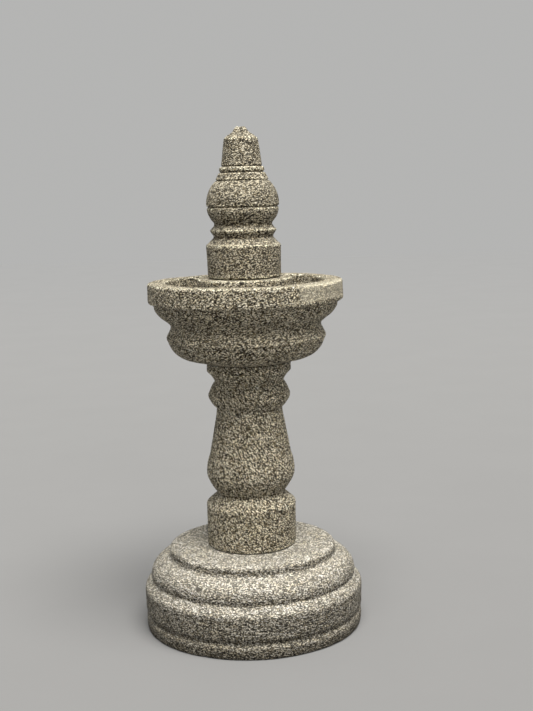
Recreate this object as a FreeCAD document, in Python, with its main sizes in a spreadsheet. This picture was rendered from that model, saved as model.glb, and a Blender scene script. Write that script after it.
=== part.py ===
import FreeCAD, Part
import Sketcher
import math
import os

# Tiered granite water fountain, 1.2 m tall, in four carved stones stacked on one upright axis:
# a stepped round base, a baluster column, a bowl with a raised boss, and a stupa-shaped finial.
# Water is pumped in under the base, climbs the pipes on the axis, wells out of the finial's tip,
# runs down into the bowl and spills over its rim.
# Origin: centre of the base's underside. +Z up, +Y towards the back (the hose channel).
# Millimetres throughout.

os.makedirs("parts", exist_ok=True)
doc = FreeCAD.newDocument("tiered_water_fountain")

# ---------------------------------------------------------------------------------------------
# Driving dimensions
# ---------------------------------------------------------------------------------------------
DIMENSIONS = {
    # how the stones stack
    "joint_gap": 1.5,
    "base_height": 197.0,
    "column_height": 447.0,
    "basin_height": 201.0,
    # passages through the stones
    "hose_bore_radius": 22.0,
    "recess_radius": 70.0,
    "recess_depth": 75.0,
    "channel_width": 44.0,
    "channel_height": 34.0,
    "channel_reach": 280.0,
    # locating dowels: set in the lower stone, loose in the upper one
    "column_dowel_radius": 6.0,
    "column_dowel_length": 70.0,
    "column_dowel_circle": 70.0,
    "basin_dowel_radius": 6.0,
    "basin_dowel_length": 70.0,
    "basin_dowel_circle": 58.0,
    "finial_dowel_radius": 5.0,
    "finial_dowel_length": 54.0,
    "finial_dowel_circle": 54.0,
    "dowel_slack": 1.0,
    # setting pads that level each joint
    "column_pad_radius": 12.0,
    "basin_pad_radius": 11.0,
    "finial_pad_radius": 9.0,
    # riser pipes
    "pipe_radius": 11.0,
    "pipe_wall": 1.5,
    "lower_riser_foot": 34.0,
    "lower_riser_top": 690.0,
    "upper_riser_foot": 826.0,
    "upper_riser_top": 1148.0,
    # floor flange that holds the lower riser
    "flange_radius": 36.0,
    "flange_thickness": 6.0,
    "flange_hub_radius": 17.0,
    "flange_hub_foot": 50.0,
    "flange_screw_circle": 27.0,
    "screw_radius": 2.5,
    "screw_head_radius": 4.8,
    "screw_head_height": 3.5,
    "screw_length": 30.0,
    "plug_radius": 4.0,
    "plug_length": 30.0,
    # elbow and hose tail under the base
    "inlet_height": 20.0,
    "elbow_radius": 15.0,
    "elbow_bore": 9.0,
    "elbow_reach": 30.0,
    "elbow_socket": 14.0,
    "tail_bore": 7.0,
    "tail_radius": 9.5,
    "tail_collar_radius": 14.0,
    "tail_collar_length": 8.0,
    "tail_plain_length": 20.0,
    "tail_root_radius": 8.6,
    "tail_barb_length": 8.0,
    # tank connector through the bowl
    "connector_radius": 15.0,
    "connector_foot": 650.0,
    "connector_flange_radius": 28.0,
    "connector_flange_thickness": 5.0,
    "connector_seal_thickness": 2.0,
    "connector_slip_fit": 0.2,
    "connector_slip_depth": 50.0,
    "o_ring_section": 1.5,
    "o_ring_height": 662.0,
    "locknut_flats": 42.0,
    "locknut_thickness": 10.0,
    # jet nozzle
    "nozzle_body_radius": 13.5,
    "nozzle_body_length": 22.0,
    "nozzle_engagement": 13.0,
    "nozzle_tip_radius": 6.5,
    "nozzle_tip_length": 33.0,
    "nozzle_bore": 4.0,
}

# Each stone's outline in the half-plane through the axis, walked round with the stone on the
# left, heights from that stone's own underside:
# (station, radius, height, radius of the arc to the next station).
# A plus arc bulges out of the stone, a minus arc hollows it, 0 is a straight edge.
OUTLINES = {
    "base": [
        ("bore_foot", 22.0, 0.0, 0),
        ("foot", 258.0, 0.0, 6.0),
        ("foot_edge", 264.0, 6.0, 0),
        ("foot_ring_top", 265.0, 23.0, 12.0),
        ("foot_bevel", 261.5, 31.0, -9.0),
        ("groove", 258.5, 38.5, -7.0),
        ("groove_top", 262.5, 44.0, 6.0),
        ("drum_foot", 265.5, 49.0, 0),
        ("drum_top", 266.0, 93.0, 16.0),
        ("drum_shoulder", 260.0, 108.0, 40.0),
        ("torus_foot", 248.0, 120.0, -7.0),
        ("torus_swell", 249.5, 128.0, 42.0),
        ("torus_top", 211.0, 170.5, -9.0),
        ("disc_foot", 202.0, 179.0, 0),
        ("disc_edge", 202.5, 188.5, 9.0),
        ("disc_top", 194.0, 197.0, 0),
        ("bore_top", 22.0, 197.0, 0),
    ],
    "column": [
        ("bore_foot", 22.0, 0.0, 0),
        ("foot", 104.0, 0.0, 4.0),
        ("foot_edge", 108.0, 4.0, 0),
        ("block_top", 108.5, 99.0, 9.0),
        ("shoulder", 104.0, 107.5, 0),
        ("neck", 85.0, 124.0, -7.0),
        ("neck_top", 84.5, 134.0, 110.0),
        ("belly_low", 101.0, 160.0, 45.0),
        ("belly", 106.5, 187.0, 95.0),
        ("belly_high", 98.0, 223.0, 0),
        ("throat", 83.5, 304.0, -190.0),
        ("bead_foot", 79.0, 334.0, -6.0),
        ("bead_low", 84.0, 341.0, 80.0),
        ("bead_waist", 96.0, 359.0, 16.0),
        ("bead_high", 96.0, 376.0, 80.0),
        ("bead_top", 84.5, 399.0, 0),
        ("capital_foot", 81.5, 400.5, -60.0),
        ("capital_edge", 99.5, 425.5, 3.0),
        ("capital_side", 101.0, 429.0, 0),
        ("capital_top", 100.5, 447.0, 0),
        ("bore_top", 22.0, 447.0, 0),
    ],
    "basin": [
        ("nut_recess", 32.0, 0.0, 0),
        ("foot", 101.0, 0.0, 0),
        ("underside", 137.0, 9.5, 62.0),
        ("lip_low", 188.0, 54.0, 12.0),
        ("lip_high", 191.0, 64.5, 0),
        ("waist_low", 181.5, 82.0, -15.0),
        ("waist_high", 181.0, 94.5, 0),
        ("cove", 194.0, 106.0, 60.0),
        ("cove_high", 219.0, 134.0, -9.0),
        ("rim_under", 227.0, 146.0, 6.0),
        ("rim_foot", 232.5, 152.0, 0),
        ("rim_edge", 232.0, 189.5, 5.0),
        ("rim_top", 227.0, 194.0, 0),
        ("rim_inner", 193.0, 194.0, 3.5),
        ("wall_top", 189.5, 190.0, 0),
        ("wall_foot", 183.0, 152.0, -18.0),
        ("trough_outer", 166.0, 134.0, 0),
        ("trough_inner", 131.0, 134.0, -16.0),
        ("boss_foot", 115.5, 149.0, 0),
        ("boss_edge", 114.0, 197.0, 4.0),
        ("boss_top", 110.0, 201.0, 0),
        ("seat_edge", 30.0, 201.0, 0),
        ("seat", 30.0, 189.0, 0),
        ("bore_top", 16.0, 189.0, 0),
        ("bore_foot", 16.0, 20.0, 0),
        ("nut_ceiling", 32.0, 20.0, 0),
    ],
    "finial": [
        ("bore_foot", 16.0, 0.0, 0),
        ("foot", 83.0, 0.0, 4.0),
        ("foot_edge", 87.0, 4.0, 0),
        ("block_top", 88.0, 73.0, 6.0),
        ("shoulder", 84.5, 79.0, 0),
        ("neck", 71.0, 93.0, -7.0),
        ("neck_top", 71.0, 99.0, 0),
        ("ring_low", 77.5, 109.0, 2.0),
        ("ring_high", 77.0, 112.5, 0),
        ("cavetto", 69.5, 121.0, -9.0),
        ("cavetto_top", 69.5, 130.0, 52.0),
        ("bulb_low", 84.5, 162.0, 0),
        ("slot", 81.0, 166.0, 0),
        ("slot_top", 82.0, 167.8, 0),
        ("bulb", 84.8, 168.5, 66.0),
        ("bulb_top", 62.0, 226.0, 0),
        ("ledge", 58.5, 227.4, 0),
        ("collar_foot", 62.0, 229.8, 0),
        ("collar_top", 55.0, 243.5, 0),
        ("quirk", 49.5, 245.8, 0),
        ("ring_foot", 52.0, 247.8, 8.0),
        ("ring_top", 51.5, 257.3, 0),
        ("quirk_top", 45.5, 259.8, 0),
        ("taper_foot", 48.0, 262.2, 0),
        ("taper_top", 40.5, 321.0, 8.0),
        ("crown_edge", 37.0, 326.5, 0),
        ("crown", 22.5, 337.0, -12.0),
        ("knob_foot", 17.0, 340.5, 12.0),
        ("knob", 14.0, 346.5, 7.0),
        ("knob_top", 9.5, 350.5, 0),
        ("outlet", 8.0, 350.5, 0),
        ("outlet_foot", 8.0, 314.0, 0),
        ("bore_top", 16.0, 308.0, 0),
    ],
}

values = dict(DIMENSIONS)
for stone, outline in OUTLINES.items():
    for station, radius, height, arc in outline:
        values[f"{stone}_{station}_radius"] = radius
        values[f"{stone}_{station}_height"] = height
        if arc:
            values[f"{stone}_{station}_arc"] = abs(arc)

dims = doc.addObject("Spreadsheet::Sheet", "Dims")
for row, (alias, value) in enumerate(values.items(), start=1):
    dims.set(f"A{row}", alias)
    dims.set(f"B{row}", repr(float(value)))
    dims.setAlias(f"B{row}", alias)

# Seats follow from the stack.
SEATS = {
    "column_seat": "base_height + joint_gap",
    "basin_seat": "column_seat + column_height + joint_gap",
    "finial_seat": "basin_seat + basin_height + joint_gap",
}
for row, (alias, formula) in enumerate(SEATS.items(), start=len(values) + 1):
    dims.set(f"A{row}", alias)
    dims.set(f"B{row}", "=" + formula)
    dims.setAlias(f"B{row}", alias)
doc.recompute()


def size(alias):
    """A dimension's present value."""
    return float(dims.get(alias))


def bind(target, prop, expression):
    """Tie a property to the sheet: every dimension's name in the expression gets its prefix."""
    words = expression.replace("(", " ( ").replace(")", " ) ").split()
    known = [f"Dims.{word}" if word in values or word in SEATS else word for word in words]
    target.setExpression(prop, " ".join(known))


# ---------------------------------------------------------------------------------------------
# Building blocks
# ---------------------------------------------------------------------------------------------
nodes = []


def new_body(label):
    body = doc.addObject("PartDesign::Body", label)
    body.Label = label
    nodes.append(body)
    return body


def plane_of(body, role):
    for feature in body.Origin.OriginFeatures:
        if feature.Role == role:
            return feature
    raise ValueError(role)


def new_sketch(body, label, role):
    sketch = body.newObject("Sketcher::SketchObject", label)
    sketch.AttachmentSupport = (plane_of(body, role), [""])
    sketch.MapMode = "FlatFace"
    return sketch


def arc_between(start, end, radius):
    """Arc from start to end; a plus radius has its centre on the left of the way walked."""
    middle = (start + end) / 2
    along = end - start
    half = along.Length / 2
    if abs(radius) < half:
        raise ValueError(f"arc of {radius} cannot span from {start} to {end}")
    left = FreeCAD.Vector(-along.y, along.x, 0).normalize()
    rise = math.sqrt(radius * radius - half * half)
    centre = middle + left * math.copysign(rise, radius)
    first, last = (start, end) if radius > 0 else (end, start)
    first_angle = math.atan2(first.y - centre.y, first.x - centre.x)
    last_angle = math.atan2(last.y - centre.y, last.x - centre.x)
    circle = Part.Circle(centre, FreeCAD.Vector(0, 0, 1), abs(radius))
    return Part.ArcOfCircle(circle, first_angle, last_angle)


def outline_sketch(body, label, stations):
    """Closed outline in the XZ plane, every station and arc tied to the sheet.

    stations: (radius expression, height expression, signed arc, arc expression).
    """
    sketch = new_sketch(body, label, "XZ_Plane")
    points = []
    for across, up, _, _ in stations:
        points.append(FreeCAD.Vector(evaluate(across), evaluate(up), 0))
    geometry = []
    for index, (_, _, arc, _) in enumerate(stations):
        start = points[index]
        end = points[(index + 1) % len(points)]
        geometry.append(arc_between(start, end, arc) if arc else Part.LineSegment(start, end))
    sketch.addGeometry(geometry, False)

    def start_pos(index):
        return 2 if stations[index][2] < 0 else 1

    def end_pos(index):
        return 1 if stations[index][2] < 0 else 2

    constraints = []
    bound = []
    count = len(stations)
    for index in range(count):
        after = (index + 1) % count
        join = ("Coincident", index, end_pos(index), after, start_pos(after))
        constraints.append(Sketcher.Constraint(*join))
    for index, (across, up, arc, arc_size) in enumerate(stations):
        spot = (-1, 1, index, start_pos(index))
        if abs(points[index].x) > 1e-9:
            bound.append((len(constraints), across))
            constraints.append(Sketcher.Constraint("DistanceX", *spot, points[index].x))
        else:
            constraints.append(Sketcher.Constraint("PointOnObject", index, start_pos(index), -2))
        if abs(points[index].y) > 1e-9:
            bound.append((len(constraints), up))
            constraints.append(Sketcher.Constraint("DistanceY", *spot, points[index].y))
        else:
            constraints.append(Sketcher.Constraint("PointOnObject", index, start_pos(index), -1))
        if arc:
            bound.append((len(constraints), arc_size))
            constraints.append(Sketcher.Constraint("Radius", index, abs(arc)))
    sketch.addConstraint(constraints)
    for index, expression in bound:
        bind(sketch, f"Constraints[{index}]", expression)
    return sketch


def evaluate(expression):
    """Present value of an expression written with the sheet's names."""
    names = {name: size(name) for name in list(values) + list(SEATS) if name in expression}
    words = expression.replace("(", " ( ").replace(")", " ) ").split()
    total = 0.0
    sign = 1.0
    for word in words:
        if word in "+-":
            sign = 1.0 if word == "+" else -1.0
        else:
            total += sign * (names[word] if word in names else float(word))
    return total


def revolve(body, sketch, label):
    turned = body.newObject("PartDesign::Revolution", label)
    turned.Profile = sketch
    turned.ReferenceAxis = (sketch, ["V_Axis"])
    turned.Angle = 360.0
    sketch.Visibility = False
    return turned


def turned_body(label, stations):
    """A body turned about the upright axis. stations: (radius, height) expressions."""
    body = new_body(label)
    full = [(across, up, 0, "") for across, up in stations]
    revolve(body, outline_sketch(body, f"{label}_outline", full), f"{label}_turned")
    return body


def carved_stone(label, prefix, seat=None):
    """One stone turned to its outline; standing on its seat above the floor."""
    body = new_body(label)
    stations = []
    for station, _, _, arc in OUTLINES[prefix]:
        name = f"{prefix}_{station}"
        stations.append((f"{name}_radius", f"{name}_height", arc, f"{name}_arc"))
    revolve(body, outline_sketch(body, f"{label}_outline", stations), f"{label}_turned")
    if seat:
        bind(body, "Placement.Base.z", seat)
    return body


def pocket(body, label, sketch, depth, upwards):
    """Cut straight from a level sketch; the volume must drop."""
    doc.recompute()
    before = body.Shape.Volume
    cut = body.newObject("PartDesign::Pocket", label)
    cut.Profile = sketch
    cut.Type = "Length"
    bind(cut, "Length", depth)
    cut.Reversed = upwards
    sketch.Visibility = False
    doc.recompute()
    if body.Shape.Volume >= before - 1.0:
        raise RuntimeError(f"{label} cuts nothing")
    return cut


def ring_of_holes(body, label, level, circle, radius, depth, first, count, upwards):
    """Blind holes spaced evenly on a circle round the axis, from a level in the body."""
    sketch = new_sketch(body, f"{label}_sketch", "XY_Plane")
    bind(sketch, "AttachmentOffset.Base.z", level)
    for index in range(count):
        angle = math.radians(first + 360.0 / count * index)
        centre = FreeCAD.Vector(math.cos(angle), math.sin(angle), 0) * evaluate(circle)
        hole = Part.Circle(centre, FreeCAD.Vector(0, 0, 1), evaluate(radius))
        arm = Part.LineSegment(FreeCAD.Vector(0, 0, 0), centre)
        ring = sketch.addGeometry(hole, False)
        spoke = sketch.addGeometry(arm, True)
        sketch.addConstraint([
            Sketcher.Constraint("Coincident", spoke, 1, -1, 1),
            Sketcher.Constraint("Coincident", spoke, 2, ring, 3),
            Sketcher.Constraint("Angle", -1, 1, spoke, 1, angle),
        ])
        across = sketch.addConstraint(Sketcher.Constraint("Radius", ring, evaluate(radius)))
        reach = sketch.addConstraint(Sketcher.Constraint("Distance", spoke, evaluate(circle)))
        bind(sketch, f"Constraints[{across}]", radius)
        bind(sketch, f"Constraints[{reach}]", circle)
    return pocket(body, label, sketch, depth, upwards)


def cylinder(label, radius, height, level, angle=0.0, circle=None):
    """A bound Part cylinder standing on a level, on the axis or out on a circle."""
    rod = doc.addObject("Part::Cylinder", label)
    bind(rod, "Radius", radius)
    bind(rod, "Height", height)
    bind(rod, "Placement.Base.z", level)
    if circle:
        rod.setExpression("Placement.Base.x", f"Dims.{circle} * cos({angle} deg)")
        rod.setExpression("Placement.Base.y", f"Dims.{circle} * sin({angle} deg)")
    return rod


def grouped(label, members):
    """Identical loose pieces kept as separate solids in one node."""
    group = doc.addObject("Part::Compound", label)
    group.Label = label
    group.Links = members
    nodes.append(group)
    return group


def three_around(label, radius, height, level, circle, first):
    members = []
    for index in range(3):
        angle = first + 120 * index
        name = f"{label}_{index + 1}"
        members.append(cylinder(name, radius, height, level, angle, circle))
    return grouped(label, members)


# ---------------------------------------------------------------------------------------------
# The four stones
# ---------------------------------------------------------------------------------------------
DOWEL_START = 90
PAD_START = 30

base = carved_stone("base_plinth", "base")
recess = new_sketch(base, "recess_sketch", "XY_Plane")
round_room = Part.Circle(FreeCAD.Vector(0, 0, 0), FreeCAD.Vector(0, 0, 1), size("recess_radius"))
recess.addGeometry(round_room, False)
recess.addConstraint(Sketcher.Constraint("Coincident", 0, 3, -1, 1))
recess.addConstraint(Sketcher.Constraint("Radius", 0, size("recess_radius")))
bind(recess, "Constraints[1]", "recess_radius")
pocket(base, "pipe_recess", recess, "recess_depth", True)

channel = new_sketch(base, "channel_sketch", "XY_Plane")
half = size("channel_width") / 2
reach = size("channel_reach")
corners = [(-half, 0), (half, 0), (half, reach), (-half, reach)]
for index, corner in enumerate(corners):
    following = corners[(index + 1) % 4]
    edge = Part.LineSegment(FreeCAD.Vector(*corner, 0), FreeCAD.Vector(*following, 0))
    channel.addGeometry(edge, False)
for index in range(4):
    channel.addConstraint(Sketcher.Constraint("Coincident", index, 2, (index + 1) % 4, 1))
channel.addConstraint([
    Sketcher.Constraint("Horizontal", 0),
    Sketcher.Constraint("Horizontal", 2),
    Sketcher.Constraint("Vertical", 1),
    Sketcher.Constraint("Vertical", 3),
    Sketcher.Constraint("Symmetric", 0, 1, 0, 2, -1, 1),
])
wide = channel.addConstraint(Sketcher.Constraint("DistanceX", 0, 1, 0, 2, 2 * half))
deep = channel.addConstraint(Sketcher.Constraint("DistanceY", 1, 1, 1, 2, reach))
bind(channel, f"Constraints[{wide}]", "channel_width")
bind(channel, f"Constraints[{deep}]", "channel_reach")
pocket(base, "hose_channel", channel, "channel_height", True)

ring_of_holes(base, "column_dowel_holes", "base_height", "column_dowel_circle",
              "column_dowel_radius", "38.0", DOWEL_START, 3, False)
ring_of_holes(base, "plug_holes", "recess_depth", "flange_screw_circle",
              "plug_radius", "plug_length + 2.0", 45, 4, True)

column = carved_stone("pedestal_column", "column", "column_seat")
ring_of_holes(column, "column_socket_holes", "0.0", "column_dowel_circle",
              "column_dowel_radius + dowel_slack", "34.0", DOWEL_START, 3, True)
ring_of_holes(column, "basin_dowel_holes", "column_height", "basin_dowel_circle",
              "basin_dowel_radius", "38.0", DOWEL_START, 3, False)

basin = carved_stone("basin", "basin", "basin_seat")
ring_of_holes(basin, "basin_socket_holes", "0.0", "basin_dowel_circle",
              "basin_dowel_radius + dowel_slack", "34.0", DOWEL_START, 3, True)
ring_of_holes(basin, "finial_dowel_holes", "basin_height", "finial_dowel_circle",
              "finial_dowel_radius", "27.0", DOWEL_START, 3, False)

finial = carved_stone("finial", "finial", "finial_seat")
ring_of_holes(finial, "finial_socket_holes", "0.0", "finial_dowel_circle",
              "finial_dowel_radius + dowel_slack", "29.0", DOWEL_START, 3, True)

# ---------------------------------------------------------------------------------------------
# Dowels and setting pads in the three joints
# ---------------------------------------------------------------------------------------------
three_around("column_dowels", "column_dowel_radius", "column_dowel_length",
             "base_height - 38.0", "column_dowel_circle", DOWEL_START)
three_around("basin_dowels", "basin_dowel_radius", "basin_dowel_length",
             "column_seat + column_height - 38.0", "basin_dowel_circle", DOWEL_START)
three_around("finial_dowels", "finial_dowel_radius", "finial_dowel_length",
             "basin_seat + basin_height - 27.0", "finial_dowel_circle", DOWEL_START)

three_around("column_setting_pads", "column_pad_radius", "joint_gap",
             "base_height", "column_dowel_circle", PAD_START)
three_around("basin_setting_pads", "basin_pad_radius", "joint_gap",
             "column_seat + column_height", "basin_dowel_circle", PAD_START)
three_around("finial_setting_pads", "finial_pad_radius", "joint_gap",
             "basin_seat + basin_height", "finial_dowel_circle", PAD_START)

# ---------------------------------------------------------------------------------------------
# Lower riser: floor flange, pipe, elbow and hose tail
# ---------------------------------------------------------------------------------------------
turned_body("lower_riser_pipe", [
    ("pipe_radius - pipe_wall", "lower_riser_foot"),
    ("pipe_radius", "lower_riser_foot"),
    ("pipe_radius", "lower_riser_top - 2.0"),
    ("pipe_radius - 1.0", "lower_riser_top"),
    ("pipe_radius - pipe_wall", "lower_riser_top"),
])

flange = turned_body("floor_flange", [
    ("pipe_radius", "flange_hub_foot"),
    ("flange_hub_radius", "flange_hub_foot"),
    ("flange_hub_radius + 1.0", "recess_depth - flange_thickness"),
    ("flange_radius - 1.0", "recess_depth - flange_thickness"),
    ("flange_radius", "recess_depth - flange_thickness + 1.0"),
    ("flange_radius", "recess_depth"),
    ("pipe_radius", "recess_depth"),
])
ring_of_holes(flange, "flange_screw_holes", "recess_depth", "flange_screw_circle",
              "screw_radius + 0.4", "flange_thickness + 1.0", 45, 4, False)

screws = []
plugs = []
for index in range(4):
    angle = 45 + 90 * index
    head_level = "recess_depth - flange_thickness - screw_head_height"
    shank_level = "recess_depth - flange_thickness"
    head = cylinder(f"screw_head_{index + 1}", "screw_head_radius", "screw_head_height",
                    head_level, angle, "flange_screw_circle")
    shank = cylinder(f"screw_shank_{index + 1}", "screw_radius", "screw_length",
                     shank_level, angle, "flange_screw_circle")
    whole = doc.addObject("Part::Fuse", f"screw_blank_{index + 1}")
    whole.Base = head
    whole.Tool = shank
    drive = doc.addObject("Part::Prism", f"screw_drive_{index + 1}")
    drive.Polygon = 6
    drive.Circumradius = 2.6
    drive.Height = 2.0
    bind(drive, "Placement.Base.z", head_level)
    drive.setExpression("Placement.Base.x", f"Dims.flange_screw_circle * cos({angle} deg)")
    drive.setExpression("Placement.Base.y", f"Dims.flange_screw_circle * sin({angle} deg)")
    screw = doc.addObject("Part::Cut", f"screw_{index + 1}")
    screw.Base = whole
    screw.Tool = drive
    screws.append(screw)

    sleeve = cylinder(f"plug_sleeve_{index + 1}", "plug_radius", "plug_length",
                      "recess_depth", angle, "flange_screw_circle")
    core = cylinder(f"plug_core_{index + 1}", "screw_radius", "plug_length - 4.0",
                    "recess_depth", angle, "flange_screw_circle")
    plug = doc.addObject("Part::Cut", f"plug_{index + 1}")
    plug.Base = sleeve
    plug.Tool = core
    plugs.append(plug)
grouped("flange_screws", screws)
grouped("masonry_plugs", plugs)


def lying(label, radius, length, start):
    """A bound cylinder lying along +Y at the inlet's height."""
    rod = doc.addObject("Part::Cylinder", label)
    bind(rod, "Radius", radius)
    bind(rod, "Height", length)
    rod.Placement.Rotation = FreeCAD.Rotation(FreeCAD.Vector(1, 0, 0), -90)
    bind(rod, "Placement.Base.y", start)
    bind(rod, "Placement.Base.z", "inlet_height")
    return rod


knuckle = doc.addObject("Part::Sphere", "elbow_knuckle")
bind(knuckle, "Radius", "elbow_radius")
bind(knuckle, "Placement.Base.z", "inlet_height")
upright = cylinder("elbow_upright", "elbow_radius", "flange_hub_foot - inlet_height", "inlet_height")
outward = lying("elbow_outward", "elbow_radius", "elbow_reach", "0.0")
elbow_blank = doc.addObject("Part::MultiFuse", "elbow_blank")
elbow_blank.Shapes = [knuckle, upright, outward]
turn_room = doc.addObject("Part::Sphere", "elbow_turn")
bind(turn_room, "Radius", "elbow_bore")
bind(turn_room, "Placement.Base.z", "inlet_height")
elbow_ways = doc.addObject("Part::MultiFuse", "elbow_ways")
elbow_ways.Shapes = [
    turn_room,
    cylinder("elbow_way_up", "elbow_bore", "flange_hub_foot - inlet_height", "inlet_height"),
    lying("elbow_way_out", "elbow_bore", "elbow_reach", "0.0"),
    cylinder("elbow_pipe_socket", "pipe_radius", "flange_hub_foot - lower_riser_foot",
             "lower_riser_foot"),
    lying("elbow_tail_socket", "pipe_radius", "elbow_socket", "elbow_reach - elbow_socket"),
]
elbow = doc.addObject("Part::Cut", "inlet_elbow")
elbow.Label = "inlet_elbow"
elbow.Base = elbow_blank
elbow.Tool = elbow_ways
nodes.append(elbow)

# The tail is drawn upright from its spigot end, then laid over to point along +Y. Its two barbs
# are cut into it, so their crests are level with the plain length.
PLAIN_END = "elbow_socket + tail_collar_length + tail_plain_length"
tail = turned_body("hose_tail", [
    ("tail_bore", "0.0"),
    ("pipe_radius", "0.0"),
    ("pipe_radius", "elbow_socket"),
    ("tail_collar_radius", "elbow_socket"),
    ("tail_collar_radius", "elbow_socket + tail_collar_length"),
    ("tail_radius", "elbow_socket + tail_collar_length"),
    ("tail_radius", PLAIN_END),
    ("tail_root_radius", PLAIN_END + " + tail_barb_length"),
    ("tail_radius", PLAIN_END + " + tail_barb_length + 0.6"),
    ("tail_root_radius", PLAIN_END + " + tail_barb_length + tail_barb_length"),
    ("tail_bore", PLAIN_END + " + tail_barb_length + tail_barb_length"),
])
tail.Placement.Rotation = FreeCAD.Rotation(FreeCAD.Vector(1, 0, 0), -90)
bind(tail, "Placement.Base.y", "elbow_reach - elbow_socket")
bind(tail, "Placement.Base.z", "inlet_height")

# ---------------------------------------------------------------------------------------------
# Through the bowl: tank connector, its seal, locknut and O-ring
# ---------------------------------------------------------------------------------------------
SEAT_LEVEL = "basin_seat + basin_seat_height"
SEAL_TOP = SEAT_LEVEL + " + connector_seal_thickness"
GROOVE_HALF = 1.6

connector = turned_body("tank_connector", [
    ("pipe_radius + connector_slip_fit", "connector_foot"),
    ("connector_radius", "connector_foot"),
    ("connector_radius", SEAL_TOP),
    ("connector_flange_radius", SEAL_TOP),
    ("connector_flange_radius", SEAL_TOP + " + connector_flange_thickness - 1.0"),
    ("connector_flange_radius - 1.0", SEAL_TOP + " + connector_flange_thickness"),
    ("pipe_radius", SEAL_TOP + " + connector_flange_thickness"),
    ("pipe_radius", "upper_riser_foot"),
    ("pipe_radius - pipe_wall", "upper_riser_foot"),
    ("pipe_radius - pipe_wall", "connector_foot + connector_slip_depth"),
    ("pipe_radius + connector_slip_fit", "connector_foot + connector_slip_depth"),
    ("pipe_radius + connector_slip_fit", f"o_ring_height + {GROOVE_HALF}"),
    ("pipe_radius + 3.1", f"o_ring_height + {GROOVE_HALF}"),
    ("pipe_radius + 3.1", f"o_ring_height - {GROOVE_HALF}"),
    ("pipe_radius + connector_slip_fit", f"o_ring_height - {GROOVE_HALF}"),
])

turned_body("connector_seal", [
    ("connector_radius", SEAT_LEVEL),
    ("connector_flange_radius", SEAT_LEVEL),
    ("connector_flange_radius", SEAL_TOP),
    ("connector_radius", SEAL_TOP),
])

o_ring = doc.addObject("Part::Torus", "pipe_o_ring")
o_ring.Label = "pipe_o_ring"
bind(o_ring, "Radius1", "pipe_radius + o_ring_section + 0.1")
bind(o_ring, "Radius2", "o_ring_section")
bind(o_ring, "Placement.Base.z", "o_ring_height")
nodes.append(o_ring)

nut_blank = doc.addObject("Part::Prism", "locknut_blank")
nut_blank.Polygon = 6
nut_blank.setExpression("Circumradius", "Dims.locknut_flats / (2 * cos(30 deg))")
bind(nut_blank, "Height", "locknut_thickness")
NUT_LEVEL = "basin_seat + basin_nut_ceiling_height - locknut_thickness"
bind(nut_blank, "Placement.Base.z", NUT_LEVEL)
nut_hole = cylinder("locknut_hole", "connector_radius", "locknut_thickness", NUT_LEVEL)
locknut = doc.addObject("Part::Cut", "connector_locknut")
locknut.Label = "connector_locknut"
locknut.Base = nut_blank
locknut.Tool = nut_hole
nodes.append(locknut)

# ---------------------------------------------------------------------------------------------
# Upper riser and jet nozzle inside the finial
# ---------------------------------------------------------------------------------------------
turned_body("upper_riser_pipe", [
    ("pipe_radius - pipe_wall", "upper_riser_foot"),
    ("pipe_radius", "upper_riser_foot"),
    ("pipe_radius", "upper_riser_top"),
    ("pipe_radius - pipe_wall", "upper_riser_top"),
])

NOZZLE_FOOT = "upper_riser_top - nozzle_engagement"
NOZZLE_SHOULDER = NOZZLE_FOOT + " + nozzle_body_length"
turned_body("jet_nozzle", [
    ("pipe_radius", NOZZLE_FOOT),
    ("nozzle_body_radius", NOZZLE_FOOT),
    ("nozzle_body_radius", NOZZLE_SHOULDER + " - 4.0"),
    ("nozzle_tip_radius", NOZZLE_SHOULDER),
    ("nozzle_tip_radius", NOZZLE_SHOULDER + " + nozzle_tip_length"),
    ("nozzle_bore", NOZZLE_SHOULDER + " + nozzle_tip_length"),
    ("nozzle_bore", "upper_riser_top + 4.0"),
    ("pipe_radius - pipe_wall", "upper_riser_top"),
    ("pipe_radius", "upper_riser_top"),
])

# ---------------------------------------------------------------------------------------------
# Check and export
# ---------------------------------------------------------------------------------------------
doc.recompute()
for item in doc.Objects:
    if "Invalid" in item.State or "Error" in item.State:
        raise RuntimeError(f"{item.Label}: {item.State}")
for node in nodes:
    shape = node.Shape
    if shape.isNull() or not shape.isValid():
        raise RuntimeError(f"{node.Label} has no valid shape")
    shape.exportStep(f"parts/{node.Label}.step")
    print(node.Label, len(shape.Solids), round(shape.Volume))
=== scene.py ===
import math
import random

import bmesh
import bpy
import numpy as np
from mathutils import Matrix, Vector, noise
from mathutils.kdtree import KDTree


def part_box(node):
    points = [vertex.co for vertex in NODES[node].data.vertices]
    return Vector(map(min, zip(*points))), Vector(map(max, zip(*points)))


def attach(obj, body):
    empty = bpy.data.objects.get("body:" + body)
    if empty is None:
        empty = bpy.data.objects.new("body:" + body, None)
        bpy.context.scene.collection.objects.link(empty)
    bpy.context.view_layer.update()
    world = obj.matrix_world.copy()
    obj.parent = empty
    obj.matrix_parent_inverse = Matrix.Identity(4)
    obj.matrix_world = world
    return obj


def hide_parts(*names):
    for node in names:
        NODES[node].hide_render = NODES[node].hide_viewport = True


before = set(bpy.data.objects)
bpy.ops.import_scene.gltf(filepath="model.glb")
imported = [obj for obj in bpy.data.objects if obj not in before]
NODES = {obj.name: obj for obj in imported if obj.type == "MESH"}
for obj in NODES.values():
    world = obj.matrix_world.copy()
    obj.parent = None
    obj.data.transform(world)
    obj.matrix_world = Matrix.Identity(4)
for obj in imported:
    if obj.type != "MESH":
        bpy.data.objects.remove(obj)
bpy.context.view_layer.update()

# A granite garden fountain: four carved stones on one axis, with the pipework that feeds it.
# Each stone's outline is read off its CAD solid, then turned into a dense surface whose edges are
# worn, whose faces are uneven from hand carving, and whose arrises are chipped here and there.

MM = 0.001
random.seed(7)


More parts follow.
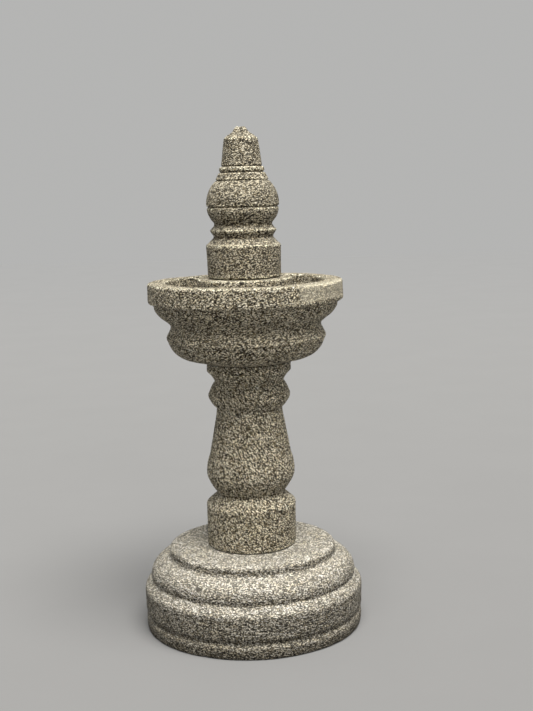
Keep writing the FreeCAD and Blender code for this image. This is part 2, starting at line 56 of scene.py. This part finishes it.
# ------------------------------------------------------------------------------------------
# Stone surfaces
# ------------------------------------------------------------------------------------------
SECTION_ANGLE = math.radians(7.0)  # a half-plane that misses every dowel hole and the channel


def outline_of(node):
    """The closed (radius, height) outline of a turned CAD node, from a cut through its axis."""
    bm = bmesh.new()
    bm.from_mesh(NODES[node].data)
    bmesh.ops.remove_doubles(bm, verts=bm.verts[:], dist=1e-6)
    across = Vector((math.cos(SECTION_ANGLE), math.sin(SECTION_ANGLE), 0))
    normal = Vector((-across.y, across.x, 0))
    everything = bm.verts[:] + bm.edges[:] + bm.faces[:]
    bmesh.ops.bisect_plane(bm, geom=everything, dist=1e-7, plane_co=(0, 0, 0), plane_no=normal,
                           clear_inner=True, clear_outer=True)
    bmesh.ops.remove_doubles(bm, verts=bm.verts[:], dist=2e-6)
    far = [v for v in bm.verts if v.co.dot(across) > 0 and v.link_edges]
    start = max(far, key=lambda v: v.co.dot(across))
    loop = [start]
    came = None
    here = start
    while True:
        ways = [e for e in here.link_edges if e is not came]
        came = ways[0]
        here = came.other_vert(here)
        if here is start:
            break
        loop.append(here)
    points = np.array([(v.co.dot(across), v.co.z) for v in loop])
    bm.free()
    following = np.roll(points, -1, axis=0)
    area = np.sum(points[:, 0] * following[:, 1] - following[:, 0] * points[:, 1])
    return points if area > 0 else points[::-1]


def evenly(points, spacing):
    """The closed outline resampled at an even spacing, starting at its first point."""
    closed = np.vstack([points, points[:1]])
    steps = np.hypot(*np.diff(closed, axis=0).T)
    along = np.concatenate([[0], np.cumsum(steps)])
    count = int(round(along[-1] / spacing))
    marks = np.arange(count) * along[-1] / count
    return np.column_stack([np.interp(marks, along, closed[:, k]) for k in (0, 1)])


def softened(points, spacing, reach):
    """The closed outline with its corners rounded off over about the reach."""
    half = int(4 * reach / spacing) + 1
    offsets = np.arange(-half, half + 1)
    weights = np.exp(-0.5 * (offsets * spacing / reach) ** 2)
    weights /= weights.sum()
    out = np.zeros_like(points)
    for offset, weight in zip(offsets, weights):
        out += weight * np.roll(points, offset, axis=0)
    return out


def outward(points):
    """Unit normals of a closed anticlockwise outline, pointing out of the stone."""
    along = np.roll(points, -1, axis=0) - np.roll(points, 1, axis=0)
    along /= np.maximum(np.hypot(*along.T), 1e-9)[:, None]
    return np.column_stack([along[:, 1], -along[:, 0]])


def turned_mesh(name, points, around, relief):
    """A closed surface turned about the axis, with the outline's relief kept on its vertices."""
    angles = np.arange(around) * 2 * math.pi / around
    rings = len(points)
    co = np.empty((rings, around, 3))
    co[:, :, 0] = points[:, 0, None] * np.cos(angles)
    co[:, :, 1] = points[:, 0, None] * np.sin(angles)
    co[:, :, 2] = points[:, 1, None]
    ring, spoke = np.meshgrid(np.arange(rings), np.arange(around), indexing="ij")
    next_ring, next_spoke = (ring + 1) % rings, (spoke + 1) % around
    quads = np.stack([
        ring * around + spoke,
        ring * around + next_spoke,
        next_ring * around + next_spoke,
        next_ring * around + spoke,
    ], axis=-1).reshape(-1, 4)
    mesh = bpy.data.meshes.new(name)
    mesh.from_pydata(co.reshape(-1, 3).tolist(), [], quads.tolist())
    layer = mesh.attributes.new("relief", "FLOAT", "POINT")
    layer.data.foreach_set("value", np.repeat(relief, around).astype(np.float32))
    mesh.update()
    return mesh


def islands(node):
    """(centre, radius, top) of each upright round piece in a CAD node."""
    bm = bmesh.new()
    bm.from_mesh(NODES[node].data)
    bmesh.ops.remove_doubles(bm, verts=bm.verts[:], dist=1e-6)
    left = set(bm.verts)
    found = []
    while left:
        stack = [left.pop()]
        members = []
        while stack:
            vert = stack.pop()
            members.append(vert.co.copy())
            for edge in vert.link_edges:
                other = edge.other_vert(vert)
                if other in left:
                    left.remove(other)
                    stack.append(other)
        low = Vector([min(c[k] for c in members) for k in range(3)])
        high = Vector([max(c[k] for c in members) for k in range(3)])
        found.append(((low + high) / 2, (high.x - low.x) / 2, high.z))
    bm.free()
    return found


def cutter_rod(centre, radius, low, high):
    bm = bmesh.new()
    bmesh.ops.create_cone(bm, cap_ends=True, segments=36, radius1=radius, radius2=radius,
                          depth=high - low,
                          matrix=Matrix.Translation((centre.x, centre.y, (low + high) / 2)))
    return bm


def cutter_box(low, high):
    bm = bmesh.new()
    size = Vector(high) - Vector(low)
    middle = (Vector(high) + Vector(low)) / 2
    bmesh.ops.create_cube(bm, size=1.0,
                          matrix=Matrix.Translation(middle) @ Matrix.Diagonal((*size, 1)))
    return bm


def cut(obj, cutters):
    """Cuts each of the cutters out of the object's mesh."""
    for bm in cutters:
        mesh = bpy.data.meshes.new("cutter")
        bm.to_mesh(mesh)
        bm.free()
        tool = bpy.data.objects.new("cutter", mesh)
        bpy.context.scene.collection.objects.link(tool)
        step = obj.modifiers.new("cut", "BOOLEAN")
        step.operation = "DIFFERENCE"
        step.solver = "EXACT"
        step.object = tool
        graph = bpy.context.evaluated_depsgraph_get()
        result = bpy.data.meshes.new_from_object(obj.evaluated_get(graph), depsgraph=graph)
        obj.modifiers.clear()
        obj.data = result
        bpy.data.objects.remove(tool)


def keep(mesh, name, data):
    """Stores one number for each vertex under a name that the materials read."""
    layer = mesh.attributes.get(name) or mesh.attributes.new(name, "FLOAT", "POINT")
    layer.data.foreach_set("value", np.asarray(data, np.float32))


SWAY = 1.1 * MM
DENTS = 0.55 * MM
PECKS = 0.35 * MM


def carve(obj, seed):
    """Uneven faces: a slow sway, broad dents and small pecks. Returns places and normals."""
    mesh = obj.data
    count = len(mesh.vertices)
    co = np.empty(count * 3, np.float32)
    mesh.vertices.foreach_get("co", co)
    co = co.reshape(-1, 3).astype(float)
    normals = np.empty(count * 3, np.float32)
    mesh.vertex_normals.foreach_get("vector", normals)
    normals = normals.reshape(-1, 3)
    push = np.empty(count)
    shift = Vector((seed * 3.1, seed * 1.7, seed * 2.3))
    for index in range(count):
        p = Vector(co[index])
        push[index] = (SWAY * noise.noise(p * 8.0 + shift)
                       + DENTS * noise.noise(p * 34.0 + shift)
                       + PECKS * noise.noise(p * 125.0 + shift)
                       + 0.6 * PECKS * noise.noise(p * 260.0 + shift))
    co += normals * push[:, None]
    return co, normals


CHIP_WIDTHS = (3.0, 4.0, 5.0, 6.5, 9.0)  # millimetres


def chip(co, tree, spots):
    """Small spalls knocked out of the arrises; returns how deep each vertex goes."""
    depth = np.zeros(len(co))
    for spot in spots:
        width = random.choice(CHIP_WIDTHS) * MM
        bite = width * random.uniform(0.22, 0.42)
        for _, index, distance in tree.find_range(spot, width * 1.5):
            ragged = distance * (1 + 0.45 * noise.noise(Vector(co[index]) * 300.0))
            if ragged < width:
                fall = 1 - (ragged / width) ** 2
                amount = bite * fall
                if amount > depth[index]:
                    depth[index] = amount
    return depth


SHARP = 0.35  # the least turn, in radians, that counts as an arris
CHIPPED_FROM = 0.03  # corners nearer the axis, in the bore and at the tip, stay whole


def arrises(points):
    """The (radius, height) of each outer corner of a closed anticlockwise outline."""
    ahead = np.roll(points, -2, axis=0) - points
    behind = points - np.roll(points, 2, axis=0)
    turn = ahead[:, 1] * behind[:, 0] - ahead[:, 0] * behind[:, 1]
    size = np.maximum(np.hypot(*ahead.T) * np.hypot(*behind.T), 1e-12)
    bend = np.arcsin(np.clip(turn / size, -1, 1))
    found = []
    for index, (radius, height) in enumerate(points):
        window = [bend[(index + k) % len(points)] for k in range(-3, 4)]
        if bend[index] > SHARP and bend[index] >= max(window) and radius > CHIPPED_FROM:
            found.append((radius, height))
    return found


STILL_WITHIN = 0.03  # nothing this near the axis moves when a stone leans
LEANS_BEYOND = 0.05  # and everything outside this moves fully


def lean_over(co, amount):
    """Tips the outside of a column sideways by the amount at its top; its bore stays upright."""
    low, high = co[:, 2].min(), co[:, 2].max()
    radius = np.hypot(co[:, 0], co[:, 1])
    outside = np.clip((radius - STILL_WITHIN) / (LEANS_BEYOND - STILL_WITHIN), 0, 1)
    co[:, 0] += amount * outside * (co[:, 2] - low) / (high - low)


HEWN_FADE = 0.01  # how far below a hewn top its lumps die away


def lumps(co, normals, above, height):
    """A roughly hewn top: lumps of the given height on everything above a level."""
    for index in np.nonzero(co[:, 2] > above - HEWN_FADE)[0]:
        rise = min(1.0, max(0.0, (co[index, 2] - above + HEWN_FADE) / HEWN_FADE))
        lump = 0.4 * (1 - normals[index, 2]) + noise.noise(Vector(co[index]) * 85.0)
        co[index] += normals[index] * height * rise * lump


def flaked(co, normals, low, first, last, depth):
    """A flake lost from the outside of a rim, between two bearings, in degrees right of front.

    Returns how far each vertex is inside the flake, from 0 to 1."""
    bearing = np.degrees(np.arctan2(co[:, 0], -co[:, 1]))
    radius = np.hypot(co[:, 0], co[:, 1])
    inside = np.zeros(len(co))
    face = (co[:, 2] > low - 0.012) & (radius > radius.max() - 0.02)
    face &= (bearing > first - 3) & (bearing < last + 6)
    for index in np.nonzero(face)[0]:
        wander = noise.noise(Vector(co[index]) * 45.0)
        start = (bearing[index] - first - 0.5 * wander) / 0.8
        end = (last - bearing[index] + 6 * wander) / 5
        floor = (co[index, 2] - low - 0.005 * wander) / 0.003
        inside[index] = min(1.0, max(0.0, min(start, end, floor)))
        notch = math.exp(-((bearing[index] - first - 0.9) / 0.55) ** 2) * (floor > 0)
        co[index] -= normals[index] * (depth * inside[index] + 1.6 * MM * notch)
    return inside


MOULDING_REACH = 5 * MM  # relief is measured against the outline softened this much


def stone(name, node, body, spacing, around, worn, seed, chips_per_metre, cutters=(),
          lean=0.0, hewn=None, flake=None):
    """One carved stone that stands for its CAD node.

    Its surface has a point every spacing along the outline and every around about the axis,
    and its corners are worn round over about the worn length.
    """
    exact = evenly(outline_of(node), spacing)
    points = softened(exact, spacing, worn)
    broad = softened(exact, spacing, MOULDING_REACH)
    relief = np.sum((points - broad) * outward(points), axis=1) / worn
    spokes = int(2 * math.pi * exact[:, 0].max() / around)
    mesh = turned_mesh(name, points, spokes, relief)
    obj = bpy.data.objects.new(name, mesh)
    bpy.context.scene.collection.objects.link(obj)
    cut(obj, cutters)
    mesh = obj.data
    mesh.name = name
    co, normals = carve(obj, seed)
    tree = KDTree(len(co))
    for index, place in enumerate(co):
        tree.insert(place, index)
    tree.balance()
    spots = []
    for radius, height in arrises(exact):
        for _ in range(int(chips_per_metre * 2 * math.pi * radius)):
            turn = random.uniform(0, 2 * math.pi)
            out = Vector((math.cos(turn), math.sin(turn), 0))
            spots.append(out * radius + Vector((0, 0, height)))
    depth = chip(co, tree, spots)
    co -= normals * depth[:, None]
    if hewn:
        lumps(co, normals, *hewn)
    if flake:
        keep(mesh, "flaked", flaked(co, normals, *flake))
    lean_over(co, lean)
    co[:, 2] = np.maximum(co[:, 2], 0.0)  # nothing reaches below the ground it stands on
    mesh.vertices.foreach_set("co", co.astype(np.float32).ravel())
    keep(mesh, "chipped", depth / MM)
    # How far each face turns up; the materials paint top light and side shade from it.
    keep(mesh, "skyward", np.clip(0.15 + 0.85 * normals[:, 2], 0, 1))
    mesh.polygons.foreach_set("use_smooth", [True] * len(mesh.polygons))
    mesh.update()
    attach(obj, body)
    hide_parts(node)
    return obj


DOWEL_SLACK = 1.0 * MM
DOWEL_HEADROOM = 1.5 * MM
OVERCUT = 5 * MM  # how far a cutter starts below the face it cuts


def sockets(dowels, node):
    """Cutters for the holes in a stone's underside that its dowels stand in."""
    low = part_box(node)[0].z - OVERCUT
    return [cutter_rod(centre, radius + DOWEL_SLACK, low, top + DOWEL_HEADROOM)
            for centre, radius, top in islands(dowels)]


CHANNEL_HALF = 22 * MM
CHANNEL_HEIGHT = 34 * MM
hose_channel = cutter_box((-CHANNEL_HALF, 60 * MM, -10 * MM), (CHANNEL_HALF, 0.3, CHANNEL_HEIGHT))

base = stone("stone_base", "base_plinth", "base",
             spacing=2.4 * MM, around=4.0 * MM, worn=2.2 * MM, seed=1, chips_per_metre=9,
             cutters=[hose_channel])
column = stone("stone_column", "pedestal_column", "column",
               spacing=1.8 * MM, around=2.8 * MM, worn=1.3 * MM, seed=2, chips_per_metre=9,
               cutters=sockets("column_dowels", "pedestal_column"), lean=3.6 * MM)
bowl = stone("stone_bowl", "basin", "bowl",
             spacing=2.2 * MM, around=3.8 * MM, worn=1.5 * MM, seed=3, chips_per_metre=12,
             cutters=sockets("basin_dowels", "basin"),
             flake=(0.803, 33.0, 86.0, 0.7 * MM))  # lowest point, bearings, depth
finial = stone("stone_finial", "finial", "finial",
               spacing=1.0 * MM, around=2.2 * MM, worn=0.6 * MM, seed=4, chips_per_metre=9,
               cutters=sockets("finial_dowels", "finial"),
               hewn=(1.182, 2.0 * MM))  # from this height up, height of the lumps


# ------------------------------------------------------------------------------------------
# Materials
# ------------------------------------------------------------------------------------------
class Nodes:
    """Short calls for building one material's node tree."""

    def __init__(self, name):
        self.material = bpy.data.materials.new(name)
        self.material.use_nodes = True
        self.tree = self.material.node_tree
        self.tree.nodes.clear()
        self.shader = self.add("ShaderNodeBsdfPrincipled")
        out = self.add("ShaderNodeOutputMaterial")
        self.link(self.shader.outputs["BSDF"], out.inputs["Surface"])
        self.coords = self.add("ShaderNodeTexCoord").outputs["Object"]

    def add(self, kind, **settings):
        node = self.tree.nodes.new(kind)
        for key, value in settings.items():
            setattr(node, key, value)
        return node

    def link(self, source, target):
        self.tree.links.new(source, target)

    def feed(self, socket, value):
        if isinstance(value, (int, float, tuple)):
            socket.default_value = value
        else:
            self.link(value, socket)

    def noise(self, scale, detail=3.0, roughness=0.55, vector=None, colour=False):
        node = self.add("ShaderNodeTexNoise")
        self.link(vector or self.coords, node.inputs["Vector"])
        node.inputs["Scale"].default_value = scale
        node.inputs["Detail"].default_value = detail
        node.inputs["Roughness"].default_value = roughness
        return node.outputs["Color" if colour else "Fac"]

    def cells(self, scale, vector=None):
        """A random colour for each cell of a pattern with scale cells to the metre."""
        node = self.add("ShaderNodeTexVoronoi", feature="F1")
        self.link(vector or self.coords, node.inputs["Vector"])
        node.inputs["Scale"].default_value = scale
        return node.outputs["Color"]

    def math(self, operation, a, b=0.0, clamp=False):
        node = self.add("ShaderNodeMath", operation=operation, use_clamp=clamp)
        self.feed(node.inputs[0], a)
        self.feed(node.inputs[1], b)
        return node.outputs[0]

    def ramp(self, value, stops):
        """The value looked up in (place, colour or grey level) stops, blended between them."""
        node = self.add("ShaderNodeValToRGB")
        while len(node.color_ramp.elements) < len(stops):
            node.color_ramp.elements.new(0.5)
        for element, (place, colour) in zip(node.color_ramp.elements, stops):
            element.position = place
            element.color = (*colour, 1.0) if isinstance(colour, tuple) else (colour,) * 3 + (1,)
        self.link(value, node.inputs["Fac"])
        return node.outputs["Color"]

    def mix(self, factor, a, b, blend="MIX", clamp=False):
        node = self.add("ShaderNodeMix", data_type="RGBA", blend_type=blend, clamp_result=clamp)
        self.feed(node.inputs["Factor"], factor)
        self.feed(node.inputs["A"], (*a, 1.0) if isinstance(a, tuple) else a)
        self.feed(node.inputs["B"], (*b, 1.0) if isinstance(b, tuple) else b)
        return node.outputs["Result"]

    def stretched(self, scale, slant=0.0):
        """Coordinates turned by the slant about the depth axis, then scaled."""
        turned = self.add("ShaderNodeMapping")
        self.link(self.coords, turned.inputs["Vector"])
        turned.inputs["Rotation"].default_value = (0.0, slant, 0.0)
        sized = self.add("ShaderNodeMapping")
        self.link(turned.outputs["Vector"], sized.inputs["Vector"])
        sized.inputs["Scale"].default_value = scale
        return sized.outputs["Vector"]

    def shifted(self, amount, scale, vector=None):
        """Coordinates pushed about by noise, so that grains aren't straight-sided."""
        vector = vector or self.coords
        wobble = self.noise(scale, 2.0, vector=vector, colour=True)
        centred = self.add("ShaderNodeVectorMath", operation="SUBTRACT")
        self.link(wobble, centred.inputs[0])
        centred.inputs[1].default_value = (0.5, 0.5, 0.5)
        sized = self.add("ShaderNodeVectorMath", operation="SCALE")
        self.link(centred.outputs[0], sized.inputs[0])
        sized.inputs["Scale"].default_value = amount
        total = self.add("ShaderNodeVectorMath", operation="ADD")
        self.link(vector, total.inputs[0])
        self.link(sized.outputs[0], total.inputs[1])
        return total.outputs[0]

    def bump(self, height, distance, strength=1.0, normal=None):
        node = self.add("ShaderNodeBump")
        node.inputs["Strength"].default_value = strength
        node.inputs["Distance"].default_value = distance
        self.link(height, node.inputs["Height"])
        if normal is not None:
            self.link(normal, node.inputs["Normal"])
        return node.outputs["Normal"]

    def channels(self, colour):
        node = self.add("ShaderNodeSeparateColor")
        self.link(colour, node.inputs["Color"])
        return node.outputs[0], node.outputs[1], node.outputs[2]

    def attribute(self, name):
        return self.add("ShaderNodeAttribute", attribute_name=name).outputs["Fac"]


GRANITE_PALE = (0.94, 0.86, 0.69)
GRANITE_MIDDLE = (0.28, 0.225, 0.135)
GRANITE_DARK = (0.022, 0.014, 0.005)
# Paler stone: the real paler face of the flake scar, and also painted top light on faces turned
# up.
PALE_FLAKE_AND_TOP_LIGHT = (0.60, 0.56, 0.46)
GRAIN = 420.0  # mineral grains to the metre
PITS = 370.0  # hammered pits to the metre
PIT_DARKNESS = 0.95
MINERALS = [(0.0, GRANITE_DARK), (0.27, GRANITE_DARK), (0.30, GRANITE_MIDDLE),
            (0.47, GRANITE_MIDDLE), (0.53, GRANITE_PALE), (1.0, GRANITE_PALE)]
# Painted shade in the hammered pits: the hollows of the pit pattern are darkened in the colour.
PIT_SHADE = [(0.0, 0.02), (0.465, 0.05), (0.53, 0.75), (0.57, 1.0)]
# Painted shade near the floor: the stone is darker towards the bottom.
FLOOR_SHADE_STEPS = [(0.0, (0.50, 0.48, 0.44)), (0.4, (0.80, 0.79, 0.77)), (1.0, (1.0, 1.0, 1.0))]
# Colour of the painted shade in the bottoms of the mouldings.
CREASE_SHADE_TINT = (0.55, 0.50, 0.42)
FLOOR_SHADE_HEIGHT = 0.12  # how far up from the floor the stone is made darker, as painted shade near the floor
STROKE_LENGTH = 1.9  # how many times longer than high the grains and pits look


def granite(name, tone, slant, top_light, streaks, side_shade=0.0, crease=0.3):
    """Speckled granite, dressed with short tool strokes that slope at the slant angle.

    Faces turned up to the sky are made paler by the given share, as painted top light.
    The streaks are how many tool marks there are to the metre along the stroke and across it, and
    how strongly they show. Side shade is painted shade that darkens the faces not turned up, and
    crease is painted shade that darkens the bottoms of the mouldings.
    """
    n = Nodes(name)
    narrow = STROKE_LENGTH ** 0.5
    strokes = n.stretched((1 / narrow, 1 / narrow, narrow), slant)
    first, second, _ = n.channels(n.cells(GRAIN, n.shifted(0.4 / GRAIN, 0.9 * GRAIN, strokes)))
    minerals = n.ramp(first, MINERALS)
    pitted = n.noise(PITS, 2.0, 0.65, strokes)
    # Painted shade: the hammered pits are made darker in the colour, by the pit darkness share.
    pit_shade = n.ramp(pitted, PIT_SHADE)
    speckle = n.mix(PIT_DARKNESS, minerals, pit_shade, "MULTIPLY")
    cloud = n.ramp(n.noise(9.0, 4.0, 0.6), [(0.3, 0.42), (0.7, 0.58)])
    clouded = n.mix(0.7, speckle, cloud, "OVERLAY")
    mottle = n.ramp(n.noise(60.0, 3.0, 0.6), [(0.3, 0.38), (0.7, 0.62)])
    mottled = n.mix(0.6, clouded, mottle, "OVERLAY")
    along, across, strength = streaks
    lines = n.noise(1.0, 3.0, 0.6, n.stretched((along, along, across), slant))
    struck = n.mix(strength, mottled, n.ramp(lines, [(0.35, 0.30), (0.65, 0.70)]), "OVERLAY")
    flaked = n.mix(n.math("MULTIPLY", n.attribute("flaked"), 0.34), struck, PALE_FLAKE_AND_TOP_LIGHT)
    # Painted top light: faces turned up to the sky are made paler, by the share given for the
    # top.
    top_lit = n.mix(n.math("MULTIPLY", n.attribute("skyward"), top_light), flaked, PALE_FLAKE_AND_TOP_LIGHT)
    # Painted shade: faces that are not turned up to the sky are made darker by the given share.
    side_shaded = n.ramp(n.attribute("skyward"), [(0.15, 1.0 - side_shade), (0.70, 1.0)])
    top_and_side_painted = n.mix(1.0, top_lit, side_shaded, "MULTIPLY")
    relief = n.attribute("relief")
    # Worn arrises and painted highlight: where the relief stands out the colour is made paler, as
    # worn stone that also catches the light. Chipped places show paler fresh stone.
    edge = n.math("MULTIPLY", n.math("SUBTRACT", relief, 0.4), 0.9, clamp=True)
    bare = n.math("MULTIPLY", n.attribute("chipped"), 0.35, clamp=True)
    bright = n.mix(n.math("MAXIMUM", edge, bare), top_and_side_painted, (1.7, 1.7, 1.7), "MULTIPLY")
    # Painted shade: the bottoms of the mouldings, where the relief is hollow, are darkened by the
    # crease share.
    groove = n.math("MULTIPLY", n.math("ADD", relief, 0.5), -crease, clamp=True)
    crease_shaded = n.mix(groove, bright, CREASE_SHADE_TINT, "MULTIPLY")
    height = n.add("ShaderNodeSeparateXYZ")
    n.link(n.coords, height.inputs[0])
    # Painted shade: the stone is made darker towards the floor.
    floor_shade = n.ramp(n.math("DIVIDE", height.outputs["Z"], FLOOR_SHADE_HEIGHT), FLOOR_SHADE_STEPS)
    floor_shaded = n.mix(1.0, crease_shaded, floor_shade, "MULTIPLY")
    n.link(n.mix(1.0, floor_shaded, tone, "MULTIPLY", True), n.shader.inputs["Base Color"])
    n.link(n.ramp(second, [(0.0, 0.74), (1.0, 0.95)]), n.shader.inputs["Roughness"])
    n.shader.inputs["Specular IOR Level"].default_value = 0.25
    tooled = n.bump(lines, 0.0045, strength)
    pocked = n.bump(pitted, 0.0028, 0.9, tooled)
    n.link(n.bump(n.noise(620.0, 3.0, 0.7), 0.0018, 0.7, pocked), n.shader.inputs["Normal"])
    return n.material


def steel(name):
    """Stainless bar and tube, with fine lines drawn out along its length."""
    n = Nodes(name)
    lines = n.noise(900.0, 4.0, 0.6, n.stretched((1.0, 1.0, 0.06)))
    n.link(n.ramp(lines, [(0.3, (0.50, 0.50, 0.49)), (0.7, (0.66, 0.66, 0.64))]),
           n.shader.inputs["Base Color"])
    n.link(n.ramp(lines, [(0.3, 0.26), (0.7, 0.42)]), n.shader.inputs["Roughness"])
    n.shader.inputs["Metallic"].default_value = 1.0
    n.link(n.bump(lines, 0.0001, 0.3), n.shader.inputs["Normal"])
    return n.material


def brass(name):
    """Machined brass that has dulled in patches."""
    n = Nodes(name)
    dull = n.noise(60.0, 5.0, 0.65)
    n.link(n.ramp(dull, [(0.35, (0.42, 0.29, 0.11)), (0.65, (0.66, 0.48, 0.20))]),
           n.shader.inputs["Base Color"])
    n.link(n.ramp(dull, [(0.3, 0.48), (0.7, 0.27)]), n.shader.inputs["Roughness"])
    n.shader.inputs["Metallic"].default_value = 1.0
    n.link(n.bump(n.noise(700.0, 3.0), 0.0001, 0.3), n.shader.inputs["Normal"])
    return n.material


def rubber(name, shade):
    """Matt rubber or nylon of the given grey level, a little dusty."""
    n = Nodes(name)
    dust = n.noise(120.0, 4.0, 0.6)
    n.link(n.ramp(dust, [(0.35, shade), (0.75, shade * 1.9)]), n.shader.inputs["Base Color"])
    n.link(n.ramp(dust, [(0.3, 0.62), (0.7, 0.85)]), n.shader.inputs["Roughness"])
    n.link(n.bump(n.noise(1500.0, 2.0), 0.0001, 0.4), n.shader.inputs["Normal"])
    return n.material


def wear(obj, material):
    obj.data.materials.clear()
    obj.data.materials.append(material)


BUFF = (0.90, 0.89, 0.84)
SHADED_BUFF = (0.71, 0.70, 0.66)
GREY = (0.94, 0.96, 1.01)
weathered = granite("granite_weathered", BUFF, slant=math.radians(13), top_light=0.10,
                    streaks=(70.0, 280.0, 0.7), side_shade=0.06)
darker = granite("granite_finial", SHADED_BUFF, slant=math.radians(13), top_light=0.16,
                 streaks=(90.0, 320.0, 0.6))
tooled = granite("granite_tooled", BUFF, slant=math.radians(-40), top_light=0.05,
                 streaks=(100.0, 320.0, 0.8))
greyer = granite("granite_base", GREY, slant=math.radians(-6), top_light=0.24,
                 streaks=(26.0, 200.0, 0.9), side_shade=0.30, crease=0.15)
wear(bowl, weathered)
wear(finial, darker)
wear(column, tooled)
wear(base, greyer)

bright_steel = steel("stainless_steel")
dull_brass = brass("dulled_brass")
black_rubber = rubber("black_rubber", 0.020)
grey_nylon = rubber("grey_nylon", 0.22)
FINISHES = {
    bright_steel: ("column_dowels", "basin_dowels", "finial_dowels", "lower_riser_pipe",
                   "upper_riser_pipe", "flange_screws"),
    dull_brass: ("floor_flange", "inlet_elbow", "hose_tail", "tank_connector",
                 "connector_locknut", "jet_nozzle"),
    black_rubber: ("column_setting_pads", "basin_setting_pads", "finial_setting_pads",
                   "connector_seal", "pipe_o_ring"),
    grey_nylon: ("masonry_plugs",),
}
for finish, names in FINISHES.items():
    for node in names:
        wear(NODES[node], finish)


# ------------------------------------------------------------------------------------------
# Floor, light and camera
# ------------------------------------------------------------------------------------------
FLOOR_REACH = 14.0
floor_mesh = bpy.data.meshes.new("floor")
floor_mesh.from_pydata([(-FLOOR_REACH, -FLOOR_REACH, 0), (FLOOR_REACH, -FLOOR_REACH, 0),
                        (FLOOR_REACH, FLOOR_REACH, 0), (-FLOOR_REACH, FLOOR_REACH, 0)],
                       [], [(0, 1, 2, 3)])
floor = bpy.data.objects.new("floor", floor_mesh)
bpy.context.scene.collection.objects.link(floor)
LAMP = Vector((1.4, -3.3, 8.0))
LAMP_WIDTH = 6.6
LAMP_POWER = 1440.0
BACKGROUND = 0.46
FILL_PLACE = (1.6, -5.6, 2.6)
FILL_AIM = (0, 0, 0.6)
FILL_WIDTH = 2.4
FILL_POWER = 64.0

ground = Nodes("pale_floor")
# The floor is darker under the lamp by as much as the lamp brightens it, so that it looks even
# all over and runs into the background.
under_lamp = ground.add("ShaderNodeVectorMath", operation="DISTANCE")
ground.link(ground.coords, under_lamp.inputs[0])
under_lamp.inputs[1].default_value = (LAMP.x, LAMP.y, 0.0)
away = ground.math("DIVIDE", under_lamp.outputs["Value"], LAMP.z)
spread = ground.math("ADD", ground.math("MULTIPLY", away, away), 1.0)
lit = ground.math("DIVIDE", LAMP_POWER / (math.pi * LAMP.z) ** 2,
                  ground.math("MULTIPLY", spread, spread))
even = ground.math("DIVIDE", BACKGROUND, ground.math("ADD", lit, BACKGROUND))
trace = ground.ramp(ground.noise(3.0, 4.0), [(0.3, 0.98), (0.7, 1.0)])
ground.link(ground.mix(1.0, even, trace, "MULTIPLY"), ground.shader.inputs["Base Color"])
ground.shader.inputs["Roughness"].default_value = 0.9
ground.shader.inputs["Specular IOR Level"].default_value = 0.0
wear(floor, ground.material)

world = bpy.data.worlds.new("studio")
bpy.context.scene.world = world
world.use_nodes = True
sky = world.node_tree.nodes["Background"]
sky.inputs["Color"].default_value = (1.0, 1.0, 0.985, 1)
sky.inputs["Strength"].default_value = BACKGROUND


def area_light(name, place, aim, width, power, colour):
    """A round lamp of the given width, turned towards what it is aimed at."""
    lamp = bpy.data.lights.new(name, "AREA")
    lamp.shape = "DISK"
    lamp.size = width
    lamp.energy = power
    lamp.color = colour
    obj = bpy.data.objects.new(name, lamp)
    obj.location = place
    obj.rotation_mode = "QUATERNION"
    obj.rotation_quaternion = (Vector(aim) - Vector(place)).to_track_quat("-Z", "Y")
    bpy.context.scene.collection.objects.link(obj)


area_light("key", LAMP, (LAMP.x, LAMP.y, 0), LAMP_WIDTH, LAMP_POWER, (1.0, 0.98, 0.94))
area_light("fill", FILL_PLACE, FILL_AIM, FILL_WIDTH, FILL_POWER, (1.0, 0.97, 0.92))

CAMERA_PLACE = (0.0469, -2.735, 1.0668)
CAMERA_PITCH = math.radians(8.491)
CAMERA_ROLL = math.radians(1.513)
FOCAL_PIXELS = 1150.0
FRAME_HEIGHT = 711.0
camera_data = bpy.data.cameras.new("camera")
camera_data.sensor_width = 36.0
camera_data.lens = FOCAL_PIXELS / FRAME_HEIGHT * camera_data.sensor_width
camera_data.clip_start = 0.05
camera = bpy.data.objects.new("camera", camera_data)
camera.matrix_world = (Matrix.Translation(CAMERA_PLACE)
                       @ Matrix.Rotation(math.pi / 2 - CAMERA_PITCH, 4, "X")
                       @ Matrix.Rotation(-CAMERA_ROLL, 4, "Z"))
bpy.context.scene.collection.objects.link(camera)
bpy.context.scene.camera = camera
bpy.context.scene.view_settings.view_transform = "Standard"
